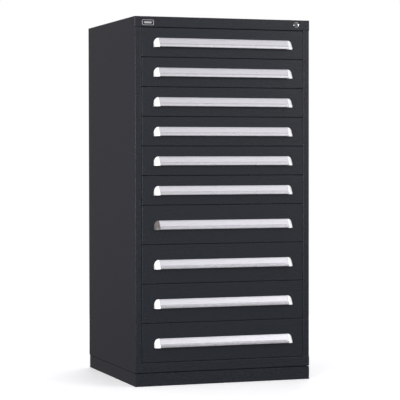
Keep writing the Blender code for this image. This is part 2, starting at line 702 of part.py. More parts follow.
clear_scene()
cabinet = new_collection("drawer_cabinet")
cutters = new_collection("cutters")
charcoal = new_material("charcoal_paint", (0.030, 0.031, 0.034), 0.45, 0.0)
zinc_plate = new_material("zinc_plated_steel", (0.55, 0.56, 0.57), 0.38, 1.0)
satin_aluminium = new_material("satin_aluminium", (0.80, 0.81, 0.82), 0.35, 1.0)
lock_chrome = new_material("lock_chrome", (0.75, 0.75, 0.76), 0.15, 1.0)
plug_metal = new_material("lock_plug_metal", (0.30, 0.30, 0.31), 0.30, 1.0)
plate_silver = new_material("nameplate_silver", (0.55, 0.55, 0.57), 0.30, 1.0)

build_housing(charcoal, zinc_plate, plate_silver)
build_lock(lock_chrome, plug_metal, zinc_plate)
build_drawers(charcoal, satin_aluminium, zinc_plate)
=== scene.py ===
"""Studio scene of a tall modular drawer cabinet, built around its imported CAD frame.

Metres, in the frame's own axes: +X right, the front looks towards -Y, +Z up.
"""

import math

import bmesh
import bpy
from mathutils import Matrix, Vector


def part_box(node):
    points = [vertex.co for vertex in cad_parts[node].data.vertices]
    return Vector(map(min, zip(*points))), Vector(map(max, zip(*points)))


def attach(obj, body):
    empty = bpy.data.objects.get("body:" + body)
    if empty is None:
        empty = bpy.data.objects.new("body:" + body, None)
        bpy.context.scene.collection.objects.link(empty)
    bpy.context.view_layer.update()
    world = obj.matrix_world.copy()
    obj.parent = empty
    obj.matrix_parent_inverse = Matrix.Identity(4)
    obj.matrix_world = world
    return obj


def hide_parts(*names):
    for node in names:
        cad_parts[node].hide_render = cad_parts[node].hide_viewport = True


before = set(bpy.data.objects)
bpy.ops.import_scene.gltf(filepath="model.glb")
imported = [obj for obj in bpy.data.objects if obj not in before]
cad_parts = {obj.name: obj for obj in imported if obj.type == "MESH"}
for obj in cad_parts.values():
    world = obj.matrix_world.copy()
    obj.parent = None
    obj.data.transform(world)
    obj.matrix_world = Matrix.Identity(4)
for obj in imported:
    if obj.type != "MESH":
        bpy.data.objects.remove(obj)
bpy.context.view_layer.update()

# The housing's front, and names in the frame
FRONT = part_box("side_panel_right")[0].y
DRAWERS = [f"drawer_{number:02d}" for number in range(1, 11)]
SIDES = {"left": -1, "right": 1}

# Camera, from the middle of the housing's front foot
CAMERA_OFFSET = Vector((-2.3492, -6.4756, 0.9283))
CAMERA_YAW = 19.130
CAMERA_PITCH = -1.446
CAMERA_ROLL = -0.089
CAMERA_LENS = 150.82

# Sheet metal
GAP = 0.0003                        # between pieces that touch
SHEET = 0.0015
TRAY_SHEET = 0.0012
PANEL_EDGE = 0.0006                 # broken edges of the top and back panels

# Drawers: heights are above the front pan's lower edge
FRONT_PAN_DEPTH = 0.020
FRONT_PAN_RADIUS = 0.0018
TRAY_HALF = 0.336
TRAY_FLOOR = 0.001
TRAY_RIM_DROP = 0.01925             # below the front pan's upper edge
INNER_WALL_DEPTH = 0.018
INNER_WALL_PLAY = 0.0015            # at each end
INNER_WALL_LIFT = 0.0013            # above the tray's floor
INNER_WALL_DROP = 0.002             # by how much it is lower than the tray's own walls
SLOT_PITCH = 0.0255
SLOT_WIDTH = 0.0045
SLOT_MARGIN = 0.011                 # whole sheet above and below the slots
RAIL_LIFT = 0.01325
RAIL_START = 0.030                  # depth behind the drawer's or the housing's front
CHANNEL_HEIGHT = 0.030
TRAY_RAIL_LIP = 0.345
TRAY_RAIL_END = 0.005               # in front of the tray's back
TRAY_RAIL_FOLD = 0.001
LUG_CORNER = Vector((TRAY_HALF, 0.027, 0.06525))
LUG_SIZE = Vector((0.0095, 0.006, 0.012))
LUG_EDGE = 0.0008

# Handle bar: reach is out of the drawer front, back is from the nose, down and up are from its edges
HANDLE_HEIGHT = 0.0365
HANDLE_REACH = 0.0245
BAR_HALF = 0.2805
LEDGE_REACH = 0.0038
LEDGE_ROUND = 0.0012
LEDGE_ROUND_REACH = 0.0042
SEAT_LIP = ((0.0072, 0.0042), (0.0064, 0.0046))                                       # reach, down
GROOVE = ((0.0087, 0.0237), (0.0125, 0.0241), (0.0125, 0.0264), (0.0074, 0.0268))     # back, down
LIP_ROUND = 0.0012
LIP_DROP = 0.0280
NOSE_ROUND = 0.0022
INNER_ROUND = 0.0010
INNER_ROUND_BACK = 0.0042
FINGER_SPACE = ((0.0052, 0.0098), (0.0142, 0.0100), (0.0142, 0.0135))                 # back, up
REAR_LEG = ((0.0052, 0.0048), (0.0028, 0.0048), (0.0028, 0.0250))                     # reach, down
LABEL_TOP = ((0.0066, 0.0047), (0.0076, 0.0043))                                      # reach, down
LABEL_FOOT = ((0.0086, 0.0234), (0.0077, 0.0230))                                     # back, down
LABEL_PLAY = 0.0012                 # at each end of the bar
LABEL_EDGE = 0.0002

# Handle caps, measured the same way
CAP_LENGTH = 0.020
CAP_CORNER = (0.0185, 0.023)        # rounded upper corner: along and down the handle
CAP_FULLNESS = 3.0                  # superellipse exponent of the cap's plan
CAP_STEPS = 14
CAP_SWEEP = 88                      # degrees of the curve from the bar to the cap's end
CAP_LEDGE = 0.0034
CAP_TOP_ROUND = 0.0016
CAP_TOP_ROUND_REACH = 0.0036
CAP_SLOPE_TOP = (0.0046, 0.0012)    # reach, down
CAP_SLOPE_FOOT = (0.0022, 0.0267)   # back, down
CAP_LIP_ROUND = 0.0040
CAP_LIP_RISE = 0.0060
CAP_FOOT = 0.0010                   # lower than the bar
CAP_FOOT_ROUND = 0.0014

# Carriages: depths are behind the carriage's front end
CARRIAGE_X = 0.3485                 # middle of the plate
CARRIAGE_SHEET = 0.002
CARRIAGE_EDGE = 0.0003
CARRIAGE_ROWS = (0.0, 0.0065, 0.0135, 0.020)
WINDOW_PITCH = 0.061
WINDOW_LENGTH = 0.030
ROLLER_RADIUS = 0.0125
ROLLER_SHOULDER = 0.0110
ROLLER_BORE = 0.004
ROLLER_WIDTH = 0.0090
ROLLER_CHAMFER = 0.0012
ROLLER_START = 0.0013               # beside the plate's middle
OUTER_ROLLERS = (0.335, 0.590)
INNER_ROLLERS = (0.015, 0.270)
PIN_PROFILE = ((0.0001, -0.002), (0.0036, -0.002), (0.0036, 0.0094), (0.0001, 0.0098))    # radius, reach

# Racks
FIXED_RAIL_FLANGE = 0.0105
FIXED_RAIL_BACK = 0.665             # depth behind the housing's front
FIXED_RAIL_FOLD = 0.0012
UPRIGHT_DEPTHS = (0.032, 0.630)
UPRIGHT_LINES = (0.0, 0.0075, 0.0225, 0.030)
UPRIGHT_SLOTTED = 2                 # the column of cells that has the slots
UPRIGHT_SLOT_PITCH = 0.020
UPRIGHT_SLOT_HEIGHT = 0.008

# Name plate: depths are shares of its thickness, in front of the top rail
PLATE_CORNER = 0.0045
PLATE_INNER_CORNER = 0.0025
PLATE_RIM_WIDTH = 0.0020
PLATE_FIELD_FACE = 0.55
PLATE_FIELD_OVERLAP = 0.0001
PLATE_EDGE = 0.0003
BAR_SIZE = (0.64, 0.35, 0.10)       # shares of the plate's width, height and, for its corners, height
BAR_DEPTHS = (0.85, 0.5)
BAR_EDGE = 0.0002

# Lock: (radius, depth) behind the bezel's face
BEZEL_DISH = ((0.0076, 0.0030), (0.0105, 0.0004), (0.0110, 0.0))
BEZEL_RADIUS = 0.0122
BEZEL_ROUND = 0.0012
BEZEL_THICKNESS = 0.0028
BARREL_RADIUS = 0.0110
BARREL_BORE = 0.0075
PLUG_RADIUS = 0.0070
PLUG_SIDES = 32
PLUG_EDGE = 0.0004
KEYWAY_SIZE = (0.0024, 0.0092, 0.0011)      # width, height and corner radius
KEYWAY_DEPTHS = (-0.01, 0.008)              # behind the plug's face

# Floor
FLOOR_RADIUS = 2.4
FLOOR_CENTRE = (0, 0.4, 0)
FLOOR_DROP = 0.0005
FLOOR_GLOW = 0.32                   # keeps the floor's shade faint

# Studio sky: (sine of the elevation, level)
SKY_AHEAD = ((-1.0, 0.40), (-0.50, 0.30), (-0.20, 0.10), (-0.14, 0.11), (-0.085, 0.76),
             (0.12, 0.88), (0.70, 0.96), (0.86, 0.62), (1.0, 0.45))
SKY_BEHIND = ((-1.0, 0.19), (-0.2, 0.145), (-0.1, 0.17), (0.0, 0.195),
              (0.1, 0.20), (0.6, 0.37), (1.0, 0.50))
SKY_TURN = 0.6                      # the front sky gives way to the rear one between -this and this, in Y
SKY_SIDES = ((-1.0, 0.50), (0.22, 0.88), (0.42, 1.20), (1.0, 1.20))     # left to right, of the front sky
AHEAD_TINT = (1.0, 0.99, 1.025)
BEHIND_TINT = (1.025, 0.985, 1.06)


# Mesh tools

def mesh_from(bm, name):
    mesh = bpy.data.meshes.new(name)
    bm.to_mesh(mesh)
    bm.free()
    return mesh


def smooth(mesh, angle=32):
    mesh.shade_smooth()
    mesh.set_sharp_from_angle(angle=math.radians(angle))
    return mesh


def baked(obj):
    """The evaluated mesh of a working object, welded, turned outwards and shaded; the object is removed."""
    depsgraph = bpy.context.evaluated_depsgraph_get()
    mesh = bpy.data.meshes.new_from_object(obj.evaluated_get(depsgraph))
    bpy.data.objects.remove(obj, do_unlink=True)
    bm = bmesh.new()
    bm.from_mesh(mesh)
    bmesh.ops.remove_doubles(bm, verts=bm.verts, dist=0.00001)
    bmesh.ops.recalc_face_normals(bm, faces=bm.faces)
    bm.to_mesh(mesh)
    bm.free()
    return smooth(mesh)


def worker(mesh):
    obj = bpy.data.objects.new("worker", mesh)
    bpy.context.scene.collection.objects.link(obj)
    return obj


def add_bevel(obj, name, width, segments, angle):
    """Rounds the edges that turn by more than the angle, in degrees."""
    rounding = obj.modifiers.new(name, "BEVEL")
    rounding.width = width
    rounding.segments = segments
    rounding.limit_method = "ANGLE"
    rounding.angle_limit = math.radians(angle)


def thickened(mesh, thickness, offset=-1.0, bevel=0.0, fold=0.0, fold_segments=3):
    """A sheet from an open surface: folds are rounded first, then it gets its thickness and broken edges."""
    obj = worker(mesh)
    if fold:
        add_bevel(obj, "fold", fold, fold_segments, 40)
    shell = obj.modifiers.new("sheet", "SOLIDIFY")
    shell.thickness = thickness
    shell.offset = offset
    shell.use_even_offset = True
    if bevel:
        add_bevel(obj, "edges", bevel, 1, 60)
    return baked(obj)


def bevelled(mesh, width, segments=2):
    obj = worker(mesh)
    add_bevel(obj, "edges", width, segments, 40)
    return baked(obj)


def join_rings(bm, one, two):
    """Faces between two closed rings of as many vertices each."""
    for index in range(len(one)):
        after = (index + 1) % len(one)
        bm.faces.new((one[index], one[after], two[after], two[index]))


def add_cells(bm, grid, windows):
    """Faces between the rows and columns of a grid of vertices, none where windows(column, row) says so."""
    for row in range(len(grid) - 1):
        for column in range(len(grid[row]) - 1):
            if not windows(column, row):
                bm.faces.new((grid[row][column], grid[row][column + 1],
                              grid[row + 1][column + 1], grid[row + 1][column]))


def unbroken(column, row):
    """No windows."""
    return False


def slotted(column, row):
    """Windows in every other cell of the middle row."""
    return row == 1 and column % 2 == 1


def add_cube(bm, low, high):
    low, high = Vector(low), Vector(high)
    matrix = Matrix.Translation((low + high) / 2) @ Matrix.Diagonal((*(high - low), 1.0))
    return bmesh.ops.create_cube(bm, size=1.0, matrix=matrix)["verts"]


def open_box(low, high, open_ways):
    """A box surface without the faces that look along the given ways."""
    bm = bmesh.new()
    add_cube(bm, low, high)
    bm.normal_update()
    gone = [face for face in bm.faces if any(face.normal.dot(Vector(way)) > 0.9 for way in open_ways)]
    bmesh.ops.delete(bm, geom=gone, context="FACES")
    return mesh_from(bm, "open_box")


def add_windowed(bm, origin, across, up, columns, rows, windows):
    """A flat sheet of cells between the column and row lines, with its windows left open."""
    origin, across, up = Vector(origin), Vector(across), Vector(up)
    add_cells(bm, [[bm.verts.new(origin + across * u + up * v) for u in columns] for v in rows], windows)


def slot_lines(length, pitch, width):
    """Column lines for evenly spaced slots, centred along the length; every odd cell is a slot."""
    count = int((length - pitch) / pitch)
    first = (length - (count - 1) * pitch) / 2
    lines = [0.0]
    for index in range(count):
        middle = first + index * pitch
        lines += [middle - width / 2, middle + width / 2]
    return lines + [length]


def arc(centre, radius, start, end, segments):
    """Points of an arc between two angles in degrees."""
    angles = [math.radians(start + (end - start) * step / segments) for step in range(segments + 1)]
    return [(centre[0] + radius * math.cos(a), centre[1] + radius * math.sin(a)) for a in angles]


def rounded_rectangle(width, height, radius, segments=5):
    """Closed outline round the origin, anticlockwise from the right."""
    x, y = width / 2 - radius, height / 2 - radius
    return (arc((x, y), radius, 0, 90, segments) + arc((-x, y), radius, 90, 180, segments)
            + arc((-x, -y), radius, 180, 270, segments) + arc((x, -y), radius, 270, 360, segments))


def prism(outline, low, high, matrix):
    """A closed outline, filled and extruded along its own Z from low to high, then moved by the matrix."""
    bm = bmesh.new()
    rings = [[bm.verts.new((x, y, z)) for x, y in outline] for z in (low, high)]
    join_rings(bm, *rings)
    bm.faces.new(rings[0][::-1])
    bm.faces.new(rings[1])
    bm.transform(matrix)
    bmesh.ops.recalc_face_normals(bm, faces=bm.faces)
    return bm


def turned(profile, segments, matrix):
    """A closed ring profile of (radius, height) points spun round its own Z."""
    bm = bmesh.new()
    rings = []
    for step in range(segments):
        angle = 2 * math.pi * step / segments
        rings.append([bm.verts.new((r * math.cos(angle), r * math.sin(angle), z)) for r, z in profile])
    for one, two in zip(rings, rings[1:] + rings[:1]):
        join_rings(bm, one, two)
    bm.transform(matrix)
    bmesh.ops.recalc_face_normals(bm, faces=bm.faces)
    return bm


FACING_FRONT = Matrix(((1, 0, 0, 0), (0, 0, 1, 0), (0, 1, 0, 0), (0, 0, 0, 1)))     # drawn in X and Z
ALONG_X = Matrix(((0, 0, 1, 0), (-1, 0, 0, 0), (0, 1, 0, 0), (0, 0, 0, 1)))         # drawn in reach and Z
ROUND_X = Matrix(((0, 0, 1, 0), (1, 0, 0, 0), (0, 1, 0, 0), (0, 0, 0, 1)))          # spun round X


# Materials

def principled(name, colour, roughness, metallic, **constants):
    material = bpy.data.materials.new(name)
    material.use_nodes = True
    shader = material.node_tree.nodes["Principled BSDF"]
    shader.inputs["Base Color"].default_value = (*colour, 1)
    shader.inputs["Roughness"].default_value = roughness
    shader.inputs["Metallic"].default_value = metallic
    for socket, value in constants.items():
        shader.inputs[socket.replace("_", " ")].default_value = value
    return material, material.node_tree.nodes, material.node_tree.links, shader


def textured(nodes, links, scale, kind="ShaderNodeTexNoise", stretch=(1, 1, 1), detail=2.0):
    """A procedural texture in the object's own coordinates."""
    coordinates = nodes.new("ShaderNodeTexCoord")
    mapping = nodes.new("ShaderNodeMapping")
    mapping.inputs["Scale"].default_value = stretch
    texture = nodes.new(kind)
    texture.inputs["Scale"].default_value = scale
    if "Detail" in texture.inputs:
        texture.inputs["Detail"].default_value = detail
    links.new(coordinates.outputs["Object"], mapping.inputs["Vector"])
    links.new(mapping.outputs["Vector"], texture.inputs["Vector"])
    return texture


def ranged(nodes, links, source, low, high, from_low=0.3, from_high=0.7):
    """The source's span, which is the middle of a noise unless it is given, mapped from low to high."""
    spread = nodes.new("ShaderNodeMapRange")
    spread.inputs["From Min"].default_value = from_low
    spread.inputs["From Max"].default_value = from_high
    spread.inputs["To Min"].default_value = low
    spread.inputs["To Max"].default_value = high
    links.new(source, spread.inputs["Value"])
    return spread.outputs["Result"]


def tinted(nodes, links, shader, source, colour, dark, light):
    """Base colour that wanders with a texture, between a dark and a light multiple of the colour."""
    mix = nodes.new("ShaderNodeMix")
    mix.data_type = "RGBA"
    for socket, share in (("A", dark), ("B", light)):
        mix.inputs[socket].default_value = (*(min(1, level * share) for level in colour), 1)
    links.new(source, mix.inputs["Factor"])
    links.new(mix.outputs["Result"], shader.inputs["Base Color"])


def bumped(nodes, links, shader, source, distance, strength=1.0):
    bump = nodes.new("ShaderNodeBump")
    bump.inputs["Distance"].default_value = distance
    bump.inputs["Strength"].default_value = strength
    links.new(source, bump.inputs["Height"])
    links.new(bump.outputs["Normal"], shader.inputs["Normal"])


def roughened(nodes, links, shader, source, low, high):
    links.new(ranged(nodes, links, source, low, high), shader.inputs["Roughness"])


def powder_coat(name, colour, roughness=0.28):
    """Fine-textured baked powder paint: a grainy orange peel, mottled in tone by its own height."""
    material, nodes, links, shader = principled(name, colour, roughness, 0.0, Specular_IOR_Level=0.36)
    grain = textured(nodes, links, 950, detail=3.0)
    peel = textured(nodes, links, 190)
    factor = ranged(nodes, links, peel.outputs["Fac"], 0.0, 1.0)
    tinted(nodes, links, shader, factor, colour, dark=0.55, light=1.45)
    roughened(nodes, links, shader, grain.outputs["Fac"], roughness - 0.06, roughness + 0.06)
    height = nodes.new("ShaderNodeMath")        # the peel and a quarter of the grain
    height.operation = "MULTIPLY_ADD"
    height.inputs[1].default_value = 0.25
    links.new(grain.outputs["Fac"], height.inputs[0])
    links.new(peel.outputs["Fac"], height.inputs[2])
    bumped(nodes, links, shader, height.outputs["Value"], distance=0.0008)
    return material


def zinc(name, colour=(0.52, 0.53, 0.55)):
    """Bright zinc plating: soft cloudy spangle and faint rolling lines."""
    material, nodes, links, shader = principled(name, colour, 0.34, 1.0)
    spangle = textured(nodes, links, 90, kind="ShaderNodeTexVoronoi")
    lines = textured(nodes, links, 60, stretch=(6, 0.4, 6), detail=4.0)
    factor = ranged(nodes, links, spangle.outputs["Distance"], 0.0, 1.0, from_low=0.0, from_high=0.8)
    tinted(nodes, links, shader, factor, colour, dark=0.88, light=1.08)
    roughened(nodes, links, shader, lines.outputs["Fac"], 0.26, 0.44)
    bumped(nodes, links, shader, lines.outputs["Fac"], distance=0.00004, strength=0.4)
    return material


def satin_metal(name, colour, roughness, stretch, scale=220):
    """Brushed or anodised metal with fine lines along the direction that the stretch leaves long."""
    material, nodes, links, shader = principled(name, colour, roughness, 1.0)
    lines = textured(nodes, links, scale, stretch=stretch, detail=5.0)
    factor = ranged(nodes, links, lines.outputs["Fac"], 0.0, 1.0)
    tinted(nodes, links, shader, factor, colour, dark=0.95, light=1.03)
    roughened(nodes, links, shader, lines.outputs["Fac"], roughness - 0.05, roughness + 0.06)
    bumped(nodes, links, shader, lines.outputs["Fac"], distance=0.00002, strength=0.5)
    return material


def moulded(name, colour, roughness, grain=700):
    """Moulded plastic with a fine spark-eroded grain."""
    material, nodes, links, shader = principled(name, colour, roughness, 0.0)
    speckle = textured(nodes, links, grain)
    cloud = textured(nodes, links, 25)
    factor = ranged(nodes, links, cloud.outputs["Fac"], 0.0, 1.0)
    tinted(nodes, links, shader, factor, colour, dark=0.96, light=1.03)
    roughened(nodes, links, shader, speckle.outputs["Fac"], roughness - 0.05, roughness + 0.05)
    bumped(nodes, links, shader, speckle.outputs["Fac"], distance=0.00006, strength=0.3)
    return material


HOUSING_PAINT = powder_coat("housing_powder_coat", (0.0075, 0.0096, 0.0138))
DRAWER_PAINT = powder_coat("drawer_powder_coat", (0.0073, 0.0096, 0.0140))
ZINC = zinc("zinc_plate")
ALUMINIUM = satin_metal("anodised_aluminium", (0.80, 0.80, 0.82), 0.26, (0.05, 1, 1))
LABEL = satin_metal("label_film", (0.80, 0.79, 0.82), 0.30, (0.05, 1, 1))
CAP_WHITE = moulded("cap_plastic", (0.86, 0.86, 0.86), 0.32)
CAP_GREY = moulded("cap_plastic_dark", (0.13, 0.12, 0.115), 0.35)
ROLLER = moulded("roller_nylon", (0.35, 0.34, 0.31), 0.40)
CHROME = satin_metal("lock_chrome", (0.70, 0.70, 0.71), 0.22, (1, 1, 1), scale=120)
PLUG = satin_metal("lock_plug_metal", (0.17, 0.17, 0.18), 0.30, (1, 1, 0.1), scale=400)
PLATE_RIM = satin_metal("nameplate_rim", (0.55, 0.55, 0.57), 0.30, (0.1, 1, 1), scale=300)
PLATE_FIELD = moulded("nameplate_field", (0.004, 0.004, 0.005), 0.25, grain=500)


# Pieces

def flatten(obj):
    """Keeps large flat faces flat in the shading, so that only the folds and rounds beside them turn."""
    weighting = obj.modifiers.new("flat_faces", "WEIGHTED_NORMAL")
    weighting.mode = "FACE_AREA"
    weighting.keep_sharp = True


def add_piece(name, mesh, material, body, replaces=(), location=(0, 0, 0)):
    mesh.materials.clear()
    mesh.materials.append(material)
    obj = bpy.data.objects.new(name, mesh)
    bpy.context.scene.collection.objects.link(obj)
    obj.location = location
    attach(obj, body)
    if replaces:
        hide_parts(*replaces)
    flatten(obj)


def finish_node(name, material, bevel=0.0):
    """Gives a CAD node that stays its material, smooth folds and lightly broken edges."""
    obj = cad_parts[name]
    obj.data.materials.clear()
    obj.data.materials.append(material)
    smooth(obj.data)
    if bevel:
        add_bevel(obj, "edges", bevel, 2, 50)
    flatten(obj)


# Drawers

def front_pan(width, height):
    """Drawer front folded from one sheet, from the middle of its lower front edge."""
    shell = open_box((-width / 2, 0, 0), (width / 2, FRONT_PAN_DEPTH, height), [(0, 1, 0)])
    return thickened(shell, SHEET, fold=FRONT_PAN_RADIUS, fold_segments=4)


def tray(height, depth):
    """Open tray with partition slots in its sides and back, in the front pan's own frame."""
    low, width = TRAY_FLOOR, TRAY_HALF * 2
    wall = height - TRAY_RIM_DROP - low
    rows = [0.0, SLOT_MARGIN, wall - SLOT_MARGIN, wall]
    bm = bmesh.new()
    length = depth - INNER_WALL_DEPTH
    side_lines = [line + INNER_WALL_DEPTH for line in slot_lines(length, SLOT_PITCH, SLOT_WIDTH)]
    side_lines[0] = TRAY_SHEET
    cross_lines = slot_lines(width, SLOT_PITCH, SLOT_WIDTH)
    for side in (-TRAY_HALF, TRAY_HALF):
        add_windowed(bm, (side, 0, low), (0, 1, 0), (0, 0, 1), side_lines, rows, slotted)
    add_windowed(bm, (-TRAY_HALF, depth, low), (1, 0, 0), (0, 0, 1), cross_lines, rows, slotted)
    add_windowed(bm, (-TRAY_HALF, 0, low), (0, 1, 0), (1, 0, 0), [TRAY_SHEET, depth], [0.0, width], unbroken)
    bmesh.ops.remove_doubles(bm, verts=bm.verts, dist=0.00001)
    bmesh.ops.recalc_face_normals(bm, faces=bm.faces)
    centre = Vector((0, depth / 2, low + SLOT_MARGIN))
    if sum((face.calc_center_median() - centre).dot(face.normal) for face in bm.faces) < 0:
        bmesh.ops.reverse_faces(bm, faces=bm.faces)
    return thickened(mesh_from(bm, "tray"), TRAY_SHEET)


def inner_wall(height):
    """Slotted wall that closes the tray behind the front pan."""
    wall = height - TRAY_RIM_DROP - TRAY_FLOOR
    rows = [0.0, SLOT_MARGIN, wall - SLOT_MARGIN, wall - INNER_WALL_DROP]
    lines = slot_lines((TRAY_HALF - INNER_WALL_PLAY) * 2, SLOT_PITCH, SLOT_WIDTH)
    origin = (INNER_WALL_PLAY - TRAY_HALF, INNER_WALL_DEPTH, TRAY_FLOOR + INNER_WALL_LIFT)
    bm = bmesh.new()
    add_windowed(bm, origin, (1, 0, 0), (0, 0, 1), lines, rows, slotted)
    return thickened(mesh_from(bm, "inner_wall"), TRAY_SHEET, offset=1.0)


def tray_rails(start, end):
    """Channel rails welded to the tray's sides, open outwards."""
    bm = bmesh.new()
    bottom, top = RAIL_LIFT, RAIL_LIFT + CHANNEL_HEIGHT
    for side in (-1, 1):
        web, lip = side * (TRAY_HALF + GAP), side * TRAY_RAIL_LIP
        path = [(lip, bottom), (web, bottom), (web, top), (lip, top)]
        add_cells(bm, [[bm.verts.new((x, y, z)) for x, z in path] for y in (start, end)], unbroken)
    bmesh.ops.recalc_face_normals(bm, faces=bm.faces)
    return thickened(mesh_from(bm, "tray_rails"), TRAY_SHEET, offset=0.0, fold=TRAY_RAIL_FOLD)


def lock_lug():
    """Lug on the tray's right side that the lock bar's finger stops."""
    bm = bmesh.new()
    add_cube(bm, LUG_CORNER + Vector((GAP, 0, 0)), LUG_CORNER + LUG_SIZE)
    return bevelled(mesh_from(bm, "lock_lug"), LUG_EDGE)


def from_top(points):
    """(reach, down) points of the handle's section as (reach, height)."""
    return [(reach, HANDLE_HEIGHT / 2 - down) for reach, down in points]


def from_nose(points):
    """(back, down) points of the handle's section as (reach, height)."""
    return from_top([(HANDLE_REACH - back, down) for back, down in points])


def handle_section():
    """The bar's section as (reach, height): top ledge, label seat, groove, rolled lip and rear leg."""
    top, bottom, nose = HANDLE_HEIGHT / 2, -HANDLE_HEIGHT / 2, HANDLE_REACH
    ledge = from_top([(GAP, 0), (LEDGE_REACH, 0)])
    ledge += arc((LEDGE_ROUND_REACH, top - LEDGE_ROUND), LEDGE_ROUND, 80, 28, 3)
    lip = arc((nose - LIP_ROUND, top - LIP_DROP), LIP_ROUND, 85, 0, 4)
    under = arc((nose - NOSE_ROUND, bottom + NOSE_ROUND), NOSE_ROUND, 0, -90, 4)
    inside = arc((nose - INNER_ROUND_BACK, bottom + INNER_ROUND), INNER_ROUND, -90, -180, 2)
    hollow = [(nose - back, bottom + up) for back, up in FINGER_SPACE]
    rear = from_top(REAR_LEG + ((GAP, REAR_LEG[-1][1]),))
    return ledge + from_top(SEAT_LIP) + from_nose(GROOVE) + lip + under + inside + hollow + rear


def handle_bar():
    return smooth(mesh_from(prism(handle_section(), -BAR_HALF, BAR_HALF, ALONG_X), "handle_bar"), 25)


def label_strip():
    """Flat insert that lies on the sloping seat between the two lips."""
    (rear_top, front_top), (rear_foot, front_foot) = from_top(LABEL_TOP), from_nose(LABEL_FOOT)
    outline = [rear_top, rear_foot, front_foot, front_top]
    half = BAR_HALF - LABEL_PLAY
    return bevelled(mesh_from(prism(outline, -half, half, ALONG_X), "label_strip"), LABEL_EDGE, 1)


def cap_outline():
    """Section of a handle cap where it meets the bar, as (reach, height)."""
    top, bottom, nose = HANDLE_HEIGHT / 2, -HANDLE_HEIGHT / 2, HANDLE_REACH
    foot = bottom - CAP_FOOT
    face = from_top([(GAP, 0), (CAP_LEDGE, 0)])
    face += arc((CAP_TOP_ROUND_REACH, top - CAP_TOP_ROUND), CAP_TOP_ROUND, 85, 30, 3)
    ends = from_top([CAP_SLOPE_TOP]) + from_nose([CAP_SLOPE_FOOT])
    slope = [tuple(start + (end - start) * share for start, end in zip(*ends)) for share in (0.35, 0.7, 1.0)]
    lip = arc((nose - CAP_LIP_ROUND, bottom + CAP_LIP_RISE), CAP_LIP_ROUND, 25, 0, 2)
    lip += arc((nose - CAP_FOOT_ROUND, foot + CAP_FOOT_ROUND), CAP_FOOT_ROUND, 0, -90, 3)
    return face + slope + lip + [(GAP, foot)]


def handle_cap(side):
    """Domed end cap: its section shrinks to the drawer front along a full curve, under a rounded corner."""
    bm = bmesh.new()
    bottom = -HANDLE_HEIGHT / 2 - CAP_FOOT
    rings = []
    for step in range(CAP_STEPS + 1):
        angle = math.radians(CAP_SWEEP * step / CAP_STEPS)
        along = CAP_LENGTH * math.sin(angle) ** (2 / CAP_FULLNESS)
        flat = math.cos(angle) ** (2 / CAP_FULLNESS)
        over = max(0.0, along - (CAP_LENGTH - CAP_CORNER[0])) / CAP_CORNER[0]
        drop = CAP_CORNER[1] * (1 - math.sqrt(1 - over ** 2))
        tall = 1 - drop / (HANDLE_HEIGHT + CAP_FOOT)
        x = side * (BAR_HALF + GAP / 2 + along)
        rings.append([bm.verts.new((x, -(GAP + (reach - GAP) * flat), bottom + (height - bottom) * tall))
                      for reach, height in cap_outline()])
    for one, two in zip(rings, rings[1:]):
        join_rings(bm, one, two)
    bm.faces.new(rings[0])
    bm.faces.new(rings[-1])
    bmesh.ops.recalc_face_normals(bm, faces=bm.faces)
    return smooth(mesh_from(bm, "handle_cap"), 38)


def build_drawers():
    pans, trays, walls = {}, {}, {}
    bar, label = handle_bar(), label_strip()
    caps = {name: handle_cap(side) for name, side in SIDES.items()}
    dark_cap = handle_cap(SIDES["left"])
    low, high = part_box(DRAWERS[0])
    depth = high.y - low.y
    rails = tray_rails(RAIL_START, depth - TRAY_RAIL_END)
    lug = lock_lug()
    for name in DRAWERS:
        low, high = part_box(name)
        height = round(high.z - low.z, 4)
        foot = (0, low.y, low.z)
        if height not in pans:
            pans[height] = front_pan(high.x - low.x, height)
            trays[height] = tray(height, depth)
            walls[height] = inner_wall(height)
        add_piece(f"{name}_front_pan", pans[height], DRAWER_PAINT, name, (name,), foot)
        add_piece(f"{name}_tray", trays[height], DRAWER_PAINT, name, (name,), foot)
        add_piece(f"{name}_inner_wall", walls[height], DRAWER_PAINT, name, (name,), foot)
        add_piece(f"{name}_tray_rails", rails, ZINC, name, (name,), foot)
        add_piece(f"{name}_lock_lug", lug, ZINC, name, (name,), foot)
        node = f"{name}_handle"
        grip_low, grip_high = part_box(node)
        middle = (0, low.y, (grip_low.z + grip_high.z) / 2)
        add_piece(f"{node}_bar", bar, ALUMINIUM, name, (node,), middle)
        add_piece(f"{node}_label", label, LABEL, name, (node,), middle)
        for side, mesh in caps.items():
            odd = name == "drawer_07" and side == "left"
            slot, material = ("handle_cap_dark", CAP_GREY) if odd else ("handle_cap", CAP_WHITE)
            add_piece(f"{node}_cap_{side}", dark_cap if odd else mesh, material, name, (node,), middle)


# Suspension

def carriage_plate(plate_at, length):
    """Pierced plate, from the carriage's front end at mid height."""
    origin = (plate_at, 0, -CARRIAGE_ROWS[-1] / 2)
    columns = slot_lines(length, WINDOW_PITCH, WINDOW_LENGTH)
    bm = bmesh.new()
    add_windowed(bm, origin, (0, 1, 0), (0, 0, 1), columns, CARRIAGE_ROWS, slotted)
    return thickened(mesh_from(bm, "carriage_plate"), CARRIAGE_SHEET, offset=0.0, bevel=CARRIAGE_EDGE)


